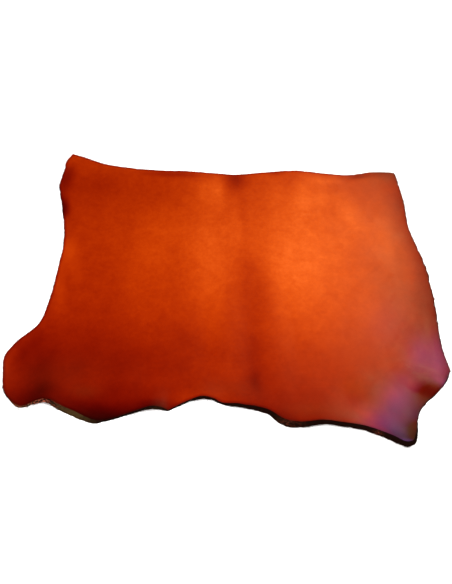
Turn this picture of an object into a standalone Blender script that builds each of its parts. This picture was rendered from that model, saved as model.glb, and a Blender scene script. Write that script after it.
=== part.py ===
"""A leather hide: a dyed cow double shoulder lying grain side up, laid out flat on the ground.

It is one sheet of thick leather. Its outline follows the neck, the two forelegs and the cut
across the back. The middle lies flat, and the rim lifts off the ground in short waves.
The frame: metres, +Z up, +X across the spine, +Y from the near edge to the far edge, with
the origin at the middle of the sheet's box, on the ground.
"""
import math
from collections import namedtuple

import bmesh
import bpy
import numpy as np

# Driving dimensions, in metres
WIDTH = 1.30              # across the spine, over the grain side
THICKNESS = 0.004         # of the leather, all over
LIFT_REACH = 0.120        # how far in from the rim a lifted wave dies out
ROWS_ACROSS = 46          # faces of the sheet between its left and right rim
ROWS_ALONG = 38           # faces between its near and far rim
RIM_CUTS = 2              # extra points on each outer edge, so the outline stays smooth
CURVE_STEPS = 10          # straight steps between two points of an outline table
SHARP_ANGLE = 40          # degrees: faces that meet at more than this are shaded apart

MM = 0.001
HUNDREDTH = WIDTH / 100

# The outline of the grain side, clockwise as seen from above. across and along are measured
# from the middle in hundredths of WIDTH. lift is how high the rim's underside is off the
# ground, and raw is how far the cut edge slopes out beyond the grain, both in millimetres.
# corner is 1 where the outline turns sharply, and 0 where it runs on smoothly.
Rim = namedtuple("Rim", "across along lift raw corner")

FAR_EDGE = [
    Rim(-42.4, 41.9, 18, 2, 1),     # curled tip of the far left corner
    Rim(-39.4, 41.0, 15, 2, 0),
    Rim(-33.7, 38.9, 9, 2, 0),
    Rim(-25.9, 37.5, 5, 2, 0),
    Rim(-18.1, 36.4, 8, 2, 0),
    Rim(-11.0, 36.0, 10, 2, 0),
    Rim(-3.9, 35.7, 4, 2, 0),
    Rim(2.7, 35.4, 0, 2, 0),        # end of the spine
    Rim(9.8, 35.7, 6, 2, 0),
    Rim(19.1, 36.0, 12, 2, 0),
    Rim(26.8, 35.4, 6, 2, 0),
    Rim(33.7, 35.1, 2, 2, 0),
    Rim(40.0, 35.8, 7, 2, 0),
]
RIGHT_EDGE = [
    Rim(45.9, 35.5, 10, 2, 1),      # square far right corner
    Rim(46.4, 31.7, 8, 2, 0),
    Rim(47.0, 25.7, 5, 2, 0),
    Rim(47.2, 16.3, 1, 2, 0),
    Rim(48.8, 7.5, 5, 2, 0),
    Rim(49.3, 4.4, 5, 3, 0),
    Rim(49.7, -0.1, 4, 3, 0),
    Rim(49.9, -8.8, 1, 2, 0),
    Rim(49.5, -18.7, 6, 2, 0),
    Rim(50.2, -25.4, 12, 2, 1),     # point of the right foreleg
    Rim(48.2, -28.8, 7, 2, 0),
    Rim(46.0, -31.0, 3, 2, 0),
    Rim(43.9, -32.7, 3, 2, 0),
    Rim(42.1, -34.9, 4, 2, 0),      # bay above the near right corner
    Rim(41.2, -37.3, 5, 2, 0),
    Rim(40.4, -40.3, 8, 3, 0),
]
NEAR_EDGE = [
    Rim(39.5, -41.8, 10, 6, 0),     # rounded near right corner
    Rim(38.0, -42.1, 9, 10, 0),
    Rim(35.2, -40.7, 7, 12, 0),
    Rim(29.8, -38.5, 6, 11, 0),
    Rim(25.4, -37.8, 9, 9, 0),
    Rim(20.5, -37.3, 12, 9, 0),     # top of the right arch
    Rim(16.5, -37.5, 5, 11, 0),
    Rim(12.7, -36.8, 1, 17, 0),     # foot of the step by the spine
    Rim(8.9, -34.4, 3, 12, 0),
    Rim(3.0, -33.3, 8, 10, 0),
    Rim(-0.9, -32.8, 2, 5, 0),
    Rim(-2.9, -31.9, 8, 7, 0),
    Rim(-5.3, -31.6, 12, 8, 0),     # top of the small arch
    Rim(-8.3, -32.5, 6, 4, 0),
    Rim(-12.6, -34.5, 0, 3, 1),     # point between the two arches
    Rim(-14.5, -34.0, 8, 8, 0),
    Rim(-16.5, -34.0, 12, 9, 0),
    Rim(-19.0, -34.6, 6, 6, 0),
    Rim(-25.8, -36.8, 0, 3, 0),
    Rim(-28.6, -36.8, 0, 9, 0),
    Rim(-32.7, -35.0, 2, 14, 0),
    Rim(-36.1, -33.5, 2, 13, 0),
    Rim(-37.9, -32.6, 4, 11, 1),    # notch beside the left foreleg
    Rim(-40.1, -32.2, 5, 5, 0),
    Rim(-42.7, -33.0, 4, 5, 0),
    Rim(-44.6, -33.7, 2, 4, 0),
    Rim(-46.7, -32.7, 5, 3, 0),
]
LEFT_EDGE = [
    Rim(-48.8, -30.3, 10, 2, 0),    # round end of the left foreleg
    Rim(-49.7, -25.8, 14, 2, 0),
    Rim(-50.1, -21.8, 14, 2, 0),
    Rim(-48.0, -17.5, 8, 2, 0),
    Rim(-43.9, -12.7, 5, 2, 0),
    Rim(-42.3, -6.6, 8, 2, 0),
    Rim(-41.6, 2.7, 3, 2, 0),       # hollow left side
    Rim(-41.2, 13.0, 6, 2, 0),
    Rim(-43.3, 24.2, 1, 2, 0),
    Rim(-45.1, 31.6, 0, 2, 1),      # small spur
    Rim(-44.2, 37.1, 6, 2, 0),
    Rim(-44.0, 39.7, 10, 2, 0),
]

# Soft swells inside the rim. across, along, length and width are in hundredths of WIDTH,
# turn is the direction of the length in degrees from +X, and height is in millimetres.
Swell = namedtuple("Swell", "across along length width turn height")

SWELLS = [
    Swell(0.2, -17.0, 46, 11, 93, 5),       # left flank of the spine
    Swell(11.0, -17.0, 46, 11, 93, 5),      # right flank of the spine
    Swell(-37.5, -27.0, 22, 13, 82, 8),     # fold that runs in from the notch
    Swell(-22.5, -27.0, 18, 12, 100, 5),    # low wave to the right of it
    Swell(44.0, -27.5, 17, 8, 148, 7),      # fold below the point of the right foreleg
    Swell(33.0, -33.0, 22, 12, 120, 6),     # wave above the near right corner
]

Leather = namedtuple("Leather", "name color roughness metallic")
GRAIN = Leather("hide_leather", (0.47, 0.062, 0.008, 1.0), 0.42, 0.0)


def clear_scene():
    """Removes every object that the file opened with."""
    for item in list(bpy.data.objects):
        bpy.data.objects.remove(item, do_unlink=True)


def closed_curve(rims):
    """Smooth closed curve through the rims: rows of x, y, lift and raw, in metres."""
    scale = np.array([HUNDREDTH, HUNDREDTH, MM, MM])
    here = np.array([tuple(rim)[:4] for rim in rims]) * scale
    corner = np.array([bool(rim.corner) for rim in rims])[:, None]
    before = np.roll(here, 1, axis=0)
    after = np.roll(here, -1, axis=0)
    step = np.sqrt(np.linalg.norm((after - here)[:, :2], axis=1))[:, None]
    past = np.roll(step, 1, axis=0)
    chord_in = (here - before) / past
    chord_out = (after - here) / step
    through = chord_in + chord_out - (after - before) / (past + step)
    slope_out = np.where(corner, chord_out, through)
    slope_in = np.roll(np.where(corner, chord_in, through), -1, axis=0)
    parts = []
    for i in range(CURVE_STEPS):
        t = i / CURVE_STEPS
        parts.append(
            (2 * t**3 - 3 * t**2 + 1) * here
            + (t**3 - 2 * t**2 + t) * step * slope_out
            + (3 * t**2 - 2 * t**3) * after
            + (t**3 - t**2) * step * slope_in
        )
    curve = np.stack(parts, axis=1).reshape(-1, 4)
    curve[:, 2:] = np.maximum(curve[:, 2:], 0.0)
    return curve


def outward(curve):
    """Unit directions that point out of a clockwise curve, level with the ground."""
    along = np.roll(curve[:, :2], -1, axis=0) - np.roll(curve[:, :2], 1, axis=0)
    along /= np.linalg.norm(along, axis=1)[:, None]
    return np.stack([-along[:, 1], along[:, 0]], axis=1)


class Side:
    """One of the four stretches of the rim, read by the share of its length."""

    def __init__(self, points, shares):
        self.points = points
        self.shares = shares

    def at(self, share):
        columns = [np.interp(share, self.shares, column) for column in self.points.T]
        return np.stack(columns, axis=-1)


def four_sides(slope_out):
    """Far, right, near and left side, far and near from left to right, the others from near to far.

    slope_out is the share of the raw width by which the points are moved out from the grain.
    """
    tables = [FAR_EDGE, RIGHT_EDGE, NEAR_EDGE, LEFT_EDGE]
    grain = closed_curve([rim for table in tables for rim in table])
    moved = grain.copy()
    moved[:, :2] += outward(grain) * grain[:, 3:4] * slope_out
    sides = []
    start = 0
    for table in tables:
        end = start + len(table) * CURVE_STEPS
        rows = [i % len(grain) for i in range(start, end + 1)]
        lengths = np.linalg.norm(np.diff(grain[rows, :2], axis=0), axis=1)
        shares = np.concatenate([[0.0], np.cumsum(lengths)]) / lengths.sum()
        sides.append((moved[rows, :3], shares))
        start = end
    far, right, near, left = sides
    return (
        Side(*far),
        Side(right[0][::-1], 1 - right[1][::-1]),
        Side(near[0][::-1], 1 - near[1][::-1]),
        Side(*left),
    )


def blended(sides, u, v, from_left, from_right, from_near, from_far):
    """Coons patch between the four sides, with the given strength of each side."""
    far, right, near, left = sides
    corners = (
        (from_left * from_near)[:, None] * near.at(0.0)
        + (from_right * from_near)[:, None] * near.at(1.0)
        + (from_left * from_far)[:, None] * far.at(0.0)
        + (from_right * from_far)[:, None] * far.at(1.0)
    )
    return (
        from_left[:, None] * left.at(v)
        + from_right[:, None] * right.at(v)
        + from_near[:, None] * near.at(u)
        + from_far[:, None] * far.at(u)
        - corners
    )


def lifted(distance):
    """Share of the rim's lift that is left at a distance from the rim."""
    return np.clip(1 - distance / LIFT_REACH, 0, 1) ** 2


def swell_height(x, y):
    """Height of all the soft swells together."""
    total = np.zeros_like(x)
    for swell in SWELLS:
        turn = math.radians(swell.turn)
        dx = x - swell.across * HUNDREDTH
        dy = y - swell.along * HUNDREDTH
        long = (dx * math.cos(turn) + dy * math.sin(turn)) / (swell.length * HUNDREDTH / 2)
        wide = (dy * math.cos(turn) - dx * math.sin(turn)) / (swell.width * HUNDREDTH / 2)
        total += swell.height * MM * np.clip(1 - long**2 - wide**2, 0, 1) ** 2
    return total


def surface(u, v, slope_out):
    """Places on the underside for shares u from left to right and v from near to far."""
    sides = four_sides(slope_out)
    far, right, near, left = sides
    flat = blended(sides, u, v, 1 - u, u, 1 - v, v)
    across = np.linalg.norm((right.at(v) - left.at(v))[:, :2], axis=1)
    along = np.linalg.norm((far.at(u) - near.at(u))[:, :2], axis=1)
    waves = blended(
        sides, u, v,
        lifted(u * across), lifted((1 - u) * across),
        lifted(v * along), lifted((1 - v) * along),
    )
    height = np.maximum(waves[:, 2], 0.0) + swell_height(flat[:, 0], flat[:, 1])
    return np.column_stack([flat[:, 0], flat[:, 1], height])


def unit_grid():
    """Square grid from 0 to 1 with extra points along its rim."""
    mesh = bmesh.new()
    bmesh.ops.create_grid(mesh, x_segments=ROWS_ACROSS, y_segments=ROWS_ALONG, size=0.5)
    bmesh.ops.translate(mesh, verts=mesh.verts, vec=(0.5, 0.5, 0.0))
    rim = [edge for edge in mesh.edges if edge.is_boundary]
    bmesh.ops.subdivide_edges(mesh, edges=rim, cuts=RIM_CUTS)
    bmesh.ops.triangulate(mesh, faces=mesh.faces, quad_method="BEAUTY", ngon_method="BEAUTY")
    return mesh


def leather_sheet():
    """The sheet: the flesh side, the grain side above it and the raw edge between them."""
    mesh = unit_grid()
    grown = bmesh.ops.extrude_face_region(mesh, geom=mesh.faces[:])
    top = {item for item in grown["geom"] if isinstance(item, bmesh.types.BMVert)}
    verts = list(mesh.verts)
    u = np.array([vert.co.x for vert in verts])
    v = np.array([vert.co.y for vert in verts])
    flesh = surface(u, v, 1.0)
    grain = surface(u, v, 0.0) + np.array([0, 0, THICKNESS])
    for vert, low, high in zip(verts, flesh, grain):
        vert.co = high if vert in top else low
    corner_low = [min(vert.co[axis] for vert in verts) for axis in range(3)]
    corner_high = [max(vert.co[axis] for vert in verts) for axis in range(3)]
    middle = [-(corner_low[axis] + corner_high[axis]) / 2 for axis in range(2)]
    bmesh.ops.translate(mesh, verts=verts, vec=(middle[0], middle[1], -corner_low[2]))
    bmesh.ops.recalc_face_normals(mesh, faces=mesh.faces)
    return mesh


def leather_material(leather):
    """Plain dyed leather."""
    material = bpy.data.materials.new(leather.name)
    material.use_nodes = True
    shader = material.node_tree.nodes["Principled BSDF"]
    shader.inputs["Base Color"].default_value = leather.color
    shader.inputs["Roughness"].default_value = leather.roughness
    shader.inputs["Metallic"].default_value = leather.metallic
    material.diffuse_color = leather.color
    return material


def main():
    clear_scene()
    mesh = leather_sheet()
    data = bpy.data.meshes.new("hide")
    mesh.to_mesh(data)
    mesh.free()
    data.materials.append(leather_material(GRAIN))
    data.shade_smooth()
    data.set_sharp_from_angle(angle=math.radians(SHARP_ANGLE))
    hide = bpy.data.objects.new("hide", data)
    bpy.context.scene.collection.objects.link(hide)


main()
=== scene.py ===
"""A dyed cow double shoulder, lying grain side up on a pale studio floor.

The leather is one thick sheet. Its outline, the waves of its rim and its soft swells are the
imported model's own, drawn here on a finer grid. Sizes are in metres, +Z is up, +X runs across
the spine and +Y from the near edge to the far edge.
"""

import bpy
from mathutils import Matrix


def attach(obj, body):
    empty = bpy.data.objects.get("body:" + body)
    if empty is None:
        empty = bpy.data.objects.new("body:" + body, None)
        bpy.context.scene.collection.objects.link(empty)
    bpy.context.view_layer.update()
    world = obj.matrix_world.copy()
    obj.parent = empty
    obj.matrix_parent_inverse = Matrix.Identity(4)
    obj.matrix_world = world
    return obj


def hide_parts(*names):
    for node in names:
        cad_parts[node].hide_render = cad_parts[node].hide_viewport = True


bl_info = {
    "name": "Leather Hide",
    "version": (1, 0, 0),
    "blender": (4, 5, 0),
    "location": "3D View > Sidebar > Hide",
    "description": "Builds a dyed double shoulder of leather and the studio that it lies in",
    "category": "Object",
}

import math
import random
from collections import namedtuple

import bmesh
import bpy
import numpy as np
from mathutils import Vector, kdtree, noise

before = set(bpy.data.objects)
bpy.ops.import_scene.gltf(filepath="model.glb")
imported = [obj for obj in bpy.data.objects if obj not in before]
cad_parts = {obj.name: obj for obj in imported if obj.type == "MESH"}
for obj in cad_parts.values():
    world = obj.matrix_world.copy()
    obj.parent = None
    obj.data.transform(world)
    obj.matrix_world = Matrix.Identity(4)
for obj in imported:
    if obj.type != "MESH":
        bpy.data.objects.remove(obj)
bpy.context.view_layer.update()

NODE = "hide"
MM = 0.001

# The outline of the grain side, clockwise as seen from above. across and along are measured
# from the middle in hundredths of the width. lift is how high the rim's underside is off the
# ground, and raw is how far the cut edge slopes out beyond the grain, both in millimetres.
# corner is 1 where the outline turns sharply, and 0 where it runs on smoothly.
Rim = namedtuple("Rim", "across along lift raw corner")

FAR_EDGE = [
    Rim(-42.4, 41.9, 18, 2, 1),     # curled tip of the far left corner
    Rim(-39.4, 41.0, 15, 2, 0),
    Rim(-33.7, 38.9, 9, 2, 0),
    Rim(-25.9, 37.5, 5, 2, 0),
    Rim(-18.1, 36.4, 8, 2, 0),
    Rim(-11.0, 36.0, 10, 2, 0),
    Rim(-3.9, 35.7, 4, 2, 0),
    Rim(2.7, 35.4, 0, 2, 0),        # end of the spine
    Rim(9.8, 35.7, 6, 2, 0),
    Rim(19.1, 36.0, 12, 2, 0),
    Rim(26.8, 35.4, 6, 2, 0),
    Rim(33.7, 35.1, 2, 2, 0),
    Rim(40.0, 35.8, 7, 2, 0),
]
RIGHT_EDGE = [
    Rim(45.9, 35.5, 10, 2, 1),      # square far right corner
    Rim(46.4, 31.7, 8, 2, 0),
    Rim(47.0, 25.7, 5, 2, 0),
    Rim(47.2, 16.3, 1, 2, 0),
    Rim(48.8, 7.5, 5, 2, 0),
    Rim(49.3, 4.4, 5, 3, 0),
    Rim(49.7, -0.1, 4, 3, 0),
    Rim(49.9, -8.8, 1, 2, 0),
    Rim(49.5, -18.7, 6, 2, 0),
    Rim(50.2, -25.4, 12, 2, 1),     # point of the right foreleg
    Rim(48.2, -28.8, 7, 2, 0),
    Rim(46.0, -31.0, 3, 2, 0),
    Rim(43.9, -32.7, 3, 2, 0),
    Rim(42.1, -34.9, 4, 2, 0),      # bay above the near right corner
    Rim(41.2, -37.3, 5, 2, 0),
    Rim(40.4, -40.3, 8, 3, 0),
]
NEAR_EDGE = [
    Rim(39.5, -41.8, 10, 6, 0),     # rounded near right corner
    Rim(38.0, -42.1, 9, 10, 0),
    Rim(35.2, -40.7, 7, 12, 0),
    Rim(29.8, -38.5, 6, 11, 0),
    Rim(25.4, -37.8, 9, 9, 0),
    Rim(20.5, -37.3, 12, 9, 0),     # top of the right arch
    Rim(16.5, -37.5, 5, 11, 0),
    Rim(12.7, -36.8, 1, 17, 0),     # foot of the step by the spine
    Rim(8.9, -34.4, 3, 12, 0),
    Rim(3.0, -33.3, 8, 10, 0),
    Rim(-0.9, -32.8, 2, 5, 0),
    Rim(-2.9, -31.9, 8, 7, 0),
    Rim(-5.3, -31.6, 12, 8, 0),     # top of the small arch
    Rim(-8.3, -32.5, 6, 4, 0),
    Rim(-12.6, -34.5, 0, 3, 1),     # point between the two arches
    Rim(-14.5, -34.0, 8, 8, 0),
    Rim(-16.5, -34.0, 12, 9, 0),
    Rim(-19.0, -34.6, 6, 6, 0),
    Rim(-25.8, -36.8, 0, 3, 0),
    Rim(-28.6, -36.8, 0, 9, 0),
    Rim(-32.7, -35.0, 2, 14, 0),
    Rim(-36.1, -33.5, 2, 13, 0),
    Rim(-37.9, -32.6, 4, 11, 1),    # notch beside the left foreleg
    Rim(-40.1, -32.2, 5, 5, 0),
    Rim(-42.7, -33.0, 4, 5, 0),
    Rim(-44.6, -33.7, 2, 4, 0),
    Rim(-46.7, -32.7, 5, 3, 0),
]
LEFT_EDGE = [
    Rim(-48.8, -30.3, 10, 2, 0),    # round end of the left foreleg
    Rim(-49.7, -25.8, 14, 2, 0),
    Rim(-50.1, -21.8, 14, 2, 0),
    Rim(-48.0, -17.5, 8, 2, 0),
    Rim(-43.9, -12.7, 5, 2, 0),
    Rim(-42.3, -6.6, 8, 2, 0),
    Rim(-41.6, 2.7, 3, 2, 0),       # hollow left side
    Rim(-41.2, 13.0, 6, 2, 0),
    Rim(-43.3, 24.2, 1, 2, 0),
    Rim(-45.1, 31.6, 0, 2, 1),      # small spur
    Rim(-44.2, 37.1, 6, 2, 0),
    Rim(-44.0, 39.7, 10, 2, 0),
]

# Soft swells inside the rim. across, along, length and width are in hundredths of the width,
# turn is the direction of the length in degrees from +X, and height is in millimetres.
Swell = namedtuple("Swell", "across along length width turn height")

SWELLS = [
    Swell(0.2, -17.0, 46, 11, 93, 5),       # left flank of the spine
    Swell(11.0, -17.0, 46, 11, 93, 5),      # right flank of the spine
    Swell(-37.5, -27.0, 22, 13, 82, 8),     # fold that runs in from the notch
    Swell(-22.5, -27.0, 18, 12, 100, 5),    # low wave to the right of it
    Swell(44.0, -27.5, 17, 8, 148, 7),      # fold below the point of the right foreleg
    Swell(33.0, -33.0, 22, 12, 120, 6),     # wave above the near right corner
]

# Where the grain is darker (plus) or paler (minus) than elsewhere: partly dye, and partly painted shade
# and painted light for the light's falloff across the hide and for its folds, dips and ridges. across,
# along, length and width are in hundredths of the hide's width, turn is in degrees from +X.
SoftOval = namedtuple("SoftOval", "across along length width turn depth")

SHADE_AND_DYE_BASE = 0.63
SHADE_AND_DYE = [
    SoftOval(-14, -52, 150, 70, 0, 1.75),        # darker towards the near edge: partly dye, partly painted shade
    SoftOval(30, -50, 110, 50, 0, -0.4),         # but less so on the right
    SoftOval(-58, -2, 110, 56, 90, 0.5),         # left flank, darker: partly dye, partly painted shade
    SoftOval(60, 0, 110, 40, 90, 1.05),          # right flank
    SoftOval(18, 6, 70, 36, 93, -0.6),           # pale back, right of the spine: partly dye, partly painted light
    SoftOval(21, 28, 17, 9, 82, -0.3),           # pale streak beyond it
    SoftOval(32, 23, 24, 8, 118, -0.2),          # another, slanting to the right
    SoftOval(25.5, 27, 13, 5, 90, -0.2),         # paler between the two
    SoftOval(13, 30, 12, 6, 90, -0.12),          # paler beside the spine
    SoftOval(33, 8, 10, 8, 0, 0.12),             # faint dark cloud
    SoftOval(34, 16, 50, 22, 90, -0.3),          # right of the pale back
    SoftOval(41, 12, 30, 8, 92, -0.3),           # pale strip by the right edge
    SoftOval(-4.5, 7, 58, 16, 93, -0.36),        # pale band, left of the spine
    SoftOval(-2.5, 30, 14, 7, 92, -0.35),        # its far end
    SoftOval(-6.3, 30, 10, 5, 90, -0.2),         # left of that end
    SoftOval(-17, 12, 36, 20, 75, -0.22),        # left of that band
    SoftOval(3, 18, 26, 11, 94, -0.2),           # pale far part of the spine
    SoftOval(4.7, 21, 16, 3, 92, 0.2),           # thin dark line down the middle of it: painted shade of the spine's crease
    SoftOval(5.8, -4, 32, 8, 92, 0.2),           # spine line, middle: painted shade of the crease along the spine
    SoftOval(9.5, -4, 30, 7, 94, 0.15),          # its right bank: painted shade where it slopes away from the light
    SoftOval(5.5, 4, 10, 8, 92, 0.12),           # where the painted shade of the spine begins
    SoftOval(6.3, -22, 20, 6, 93, 0.22),         # spine line, near part: painted shade of the crease
    SoftOval(6.6, -27, 7, 3.2, 93, 0.3),         # its dark end: painted shade
    SoftOval(2.6, 34.5, 11, 7, 88, 0.55),        # notch of the spine at the far edge: painted shade in its dip
    SoftOval(13.5, 36, 5, 2.5, 0, 0.3),          # far edge right of it
    SoftOval(-22, 29, 34, 16, -16, 0.1),         # far left band
    SoftOval(-35, 32, 18, 12, 0, 0.2),           # far left corner
    SoftOval(-28, -5, 30, 14, 95, 0.1),          # darker streak down the left flank
    SoftOval(-44, 33, 12, 6, 88, 0.5),           # left edge, far spot: painted shade where the edge tilts away
    SoftOval(-43, 36, 8, 5, 80, 0.35),           # corner above it: painted shade
    SoftOval(-43, 24, 9, 4, 100, 1.3),           # left edge, near spot: painted shade where the edge tilts away
    SoftOval(-39.5, 9, 12, 7, 90, -0.35),        # pale spot at the left edge
    SoftOval(-40.5, -2, 22, 4.5, 98, -0.28),     # left edge, nearer than that spot
    SoftOval(-37, 3.5, 10, 4, 95, -0.18),        # paler just inside
    SoftOval(-44, -16.5, 6, 4, 90, 0.2),         # root of the left foreleg
    SoftOval(-32, -17, 40, 18, -4, 0.2),         # left shoulder
    SoftOval(-30, -27, 30, 6, 5, -0.15),         # paler band across it
    SoftOval(-34, -25, 18, 14, 70, 0.2),         # deep field by the notch
    SoftOval(-25, -26, 14, 9, 90, 0.2),          # deep field right of it
    SoftOval(-13, -27, 18, 5, 0, -0.15),         # paler field beyond that
    SoftOval(-9, -16, 16, 8, -35, 0.12),         # darker cloud beyond that
    SoftOval(-20, -21, 12, 5, 0, 0.12),          # another to the left of it
    SoftOval(-42, -25, 18, 10, 80, 0.45),        # fold by the left foreleg: painted shade on its side away from the light
    SoftOval(-46.5, -21, 9, 5, 60, 0.3),         # dip in the left foreleg: painted shade
    SoftOval(-49.5, -23, 14, 7, 90, -0.25),      # pale end of the left foreleg: painted light where its lifted rim faces the light
    SoftOval(-40, -33, 18, 7, -8, 0.8),          # notch: painted shade
    SoftOval(-40.5, -29.5, 8, 6, 30, 0.6),       # dark dip behind it: painted shade
    SoftOval(-36.5, -33.5, 7, 3, -25, -0.5),     # its pale bank: painted light
    SoftOval(-26, -36.5, 26, 7, 0, 1.6),         # near edge, left: partly dye, partly painted shade
    SoftOval(-29, -33.5, 10, 5, -10, 0.3),       # above the left arch
    SoftOval(-6, -32, 26, 9, 0, -0.6),           # paler between the small arch and the spine
    SoftOval(0, -25, 18, 8, 0, -0.2),            # pale field above that
    SoftOval(-15.5, -32.8, 11, 3, 0, 0.6),       # dark rim of the small arch: painted shade just above its edge
    SoftOval(-14, 35.6, 20, 2.5, -3, 0.4),       # dark far edge, left
    SoftOval(36, 35, 10, 2.5, 5, 0.55),          # dark far edge, right
    SoftOval(26, 33.5, 12, 4, 0, -0.25),         # pale far edge between
    SoftOval(46, 36, 18, 8, -10, 0.6),           # far right corner
    SoftOval(46.2, 26, 12, 4, 88, 0.2),          # dark right edge, far part
    SoftOval(45.5, 9, 18, 7, 96, -0.22),         # paler right edge, middle
    SoftOval(34, -8, 14, 8, 90, -0.12),          # paler field inside the right flank
    SoftOval(45, 1, 12, 6, 90, -0.3),            # pale spot inside the right edge
    SoftOval(45, -12, 34, 10, 86, 0.2),          # right edge, near part
    SoftOval(44, -9, 16, 8, 90, -0.25),          # paler inside it
    SoftOval(49.3, -18, 26, 3.5, 88, 0.25),      # burnished strip along it
    SoftOval(47.5, -26, 9, 7, 0, -0.25),         # point of the right foreleg
    SoftOval(48, -27.6, 5, 2.2, 150, -0.35),     # ridge on that point: painted highlight
    SoftOval(44.3, -29.2, 7, 4, 30, 0.28),       # dark fold under that point: painted shade
    SoftOval(42, -24.5, 7, 5, 0, 0.15),          # darker field beyond the fold
    SoftOval(41, -28, 5, 5, 30, -0.2),           # paler inner end of the fold
    SoftOval(43.5, -27, 6, 4, 0, 0.3),           # darker just above that fold: painted shade
    SoftOval(33.5, -28.5, 9, 7, 60, 0.25),       # shoulder further in
    SoftOval(45.5, -22, 10, 6, 80, 0.15),        # mauve field above the fold
    SoftOval(45, -32, 24, 10, 45, 1.05),         # bay above the near right corner
    SoftOval(41, -30, 9, 6, 60, 0.3),            # purple field beside the bay
    SoftOval(38.5, -27, 6, 8, 90, 0.25),         # hollow left of the foreleg fold: painted shade
    SoftOval(37, -34, 7, 6, 0, 0.35),            # hollow above the near right corner: painted shade
    SoftOval(40.8, -35.5, 8, 5, 60, 0.5),        # inner side of that corner
    SoftOval(39, -40.5, 20, 7, -30, 1.05),       # near right corner
    SoftOval(37, -40.2, 7, 2, -30, 0.8),         # its darkest part
    SoftOval(36, -38, 12, 5, -28, 0.15),         # along its arris
    SoftOval(40.2, -40.2, 5, 4, 0, 0.35),        # its tip
    SoftOval(39.6, -38.6, 6, 4, 80, 0.4),        # dark red spot on it: painted shade in a small dip
    SoftOval(38, -31, 8, 6, 60, 0.2),            # right shoulder, by the corner
    SoftOval(35.5, -34, 14, 7, -35, 0.25),       # shoulder beside it
    SoftOval(30.5, -35.5, 7, 4, -30, -0.3),      # paler where the painted reflection ends
    SoftOval(12.5, -36, 10, 5, -30, 0.3),        # foot of the step
    SoftOval(22, -36, 20, 6, 0, 0.1),            # right arch
]

# Painted reflection: a plum tint added to the grain where the violet sky light reflected. The last
# number is how strong it is.
REFLECTION_PAINT_PATCHES = [
    SoftOval(36.8, -39.6, 14, 5, -28, 0.25),     # along the near right corner
    SoftOval(34.5, -36.5, 15, 6, -28, 0.25),     # further in
    SoftOval(31, -37.5, 9, 5, -20, 0.18),        # where it fades out to the left
    SoftOval(37.5, -32, 15, 9, 62, 0.55),        # above that corner
    SoftOval(40.5, -36, 6, 5, 60, 0.15),         # inner side of that corner
    SoftOval(40.2, -39.4, 7, 5, 80, -0.45),      # less on the dark red spot
    SoftOval(39.5, -26.3, 8, 3, 150, 0.1),       # end of the foreleg fold
    SoftOval(44.6, -29.4, 9, 4, 25, -0.15),      # none in that fold
    SoftOval(48, -27.6, 5, 2.4, 150, 0.3),       # ridge above it
    SoftOval(47.8, -24, 11, 6, 80, 0.45),        # point of the right foreleg
    SoftOval(44.5, -20.5, 13, 8, 75, 0.45),      # field above that point
    SoftOval(48.4, -18.5, 10, 4, 85, 0.2),       # right edge beside the field
    SoftOval(38, -12, 18, 12, 80, 0.08),         # faint haze beyond it
    SoftOval(38, -41.4, 8, 1.4, -8, 0.5),        # painted highlight along the arris of the near right corner
]

# Painted sheen: a dull tan tint added to the grain where the warm window's sheen fell. The last number
# is how strong it is.
SHEEN_PAINT_PATCHES = [
    SoftOval(30.5, -34, 11, 7, 45, 0.6),         # right shoulder, by the painted reflection
    SoftOval(28.5, -28.5, 8, 7, 0, 0.3),         # beyond that
    SoftOval(39, -25.5, 7, 4, 150, 0.45),        # inner end of the foreleg fold
    SoftOval(41.5, -27.2, 7, 4, 30, 0.4),        # middle of the fold
    SoftOval(46.5, -23.5, 8, 6, 80, 0.3),        # right foreleg
    SoftOval(19, -34, 14, 5, 0, 0.15),           # right arch
    SoftOval(0, -29, 18, 6, 0, 0.1),             # near end of the spine
    SoftOval(-31, -29.5, 8, 4, 0, 0.1),          # left arch
    SoftOval(38, -4, 36, 12, 90, 0.2),           # right flank, near part
    SoftOval(43, 11, 40, 10, 94, 0.3),           # right flank, far part
    SoftOval(41, 34, 14, 7, 0, 0.3),             # far right corner
    SoftOval(-38, -26, 32, 14, 5, 0.07),         # left foreleg and shoulder
]

# Where the cut fibres are paler, and where they are more frayed than elsewhere.
RAW_PALE = [
    SoftOval(-33, -34.6, 15, 6, -20, 0.75),      # run from the notch to the left arch
    SoftOval(-46, -32.5, 12, 6, 0, 0.6),         # under the left foreleg
    SoftOval(12.5, -36.5, 7, 4, -30, 0.2),       # foot of the step
    SoftOval(-15, -34, 6, 3, 0, 0.3),            # point between the arches
]
FRAYED = [
    SoftOval(-40.5, -32.2, 9, 4, 0, 2.5),        # notch
    SoftOval(-46, -32.8, 10, 5, 0, 1.5),         # under the left foreleg
    SoftOval(-24, -36, 14, 4, 0, 1.0),           # left arch
    SoftOval(12, -36, 8, 4, -30, 1.5),           # foot of the step
    SoftOval(37, -42, 10, 4, 0, 0.8),            # near right corner
    SoftOval(49.6, -4, 30, 4, 90, 0.8),          # right edge
]

# Tufts of fibres that stand out of the rim. The last number is how many times as dense.
TUFTS = [
    SoftOval(49.9, -6.6, 1.6, 1.6, 0, 40),
    SoftOval(49.5, 5.4, 1.2, 1.2, 0, 30),
    SoftOval(49.8, -11.6, 1.2, 1.2, 0, 30),
    SoftOval(50.0, -21.5, 3, 1.5, 0, 12),
    SoftOval(-39.5, -32.4, 5, 2, 0, 12),
    SoftOval(-45.5, -33.4, 5, 2, 0, 8),
    SoftOval(13.5, -37.2, 4, 2, 0, 12),
    SoftOval(18, -37.6, 5, 2, 0, 8),
    SoftOval(-19, -35, 3, 2, 0, 6),
    SoftOval(40.0, -41.6, 3, 2, 0, 8),
]

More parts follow.
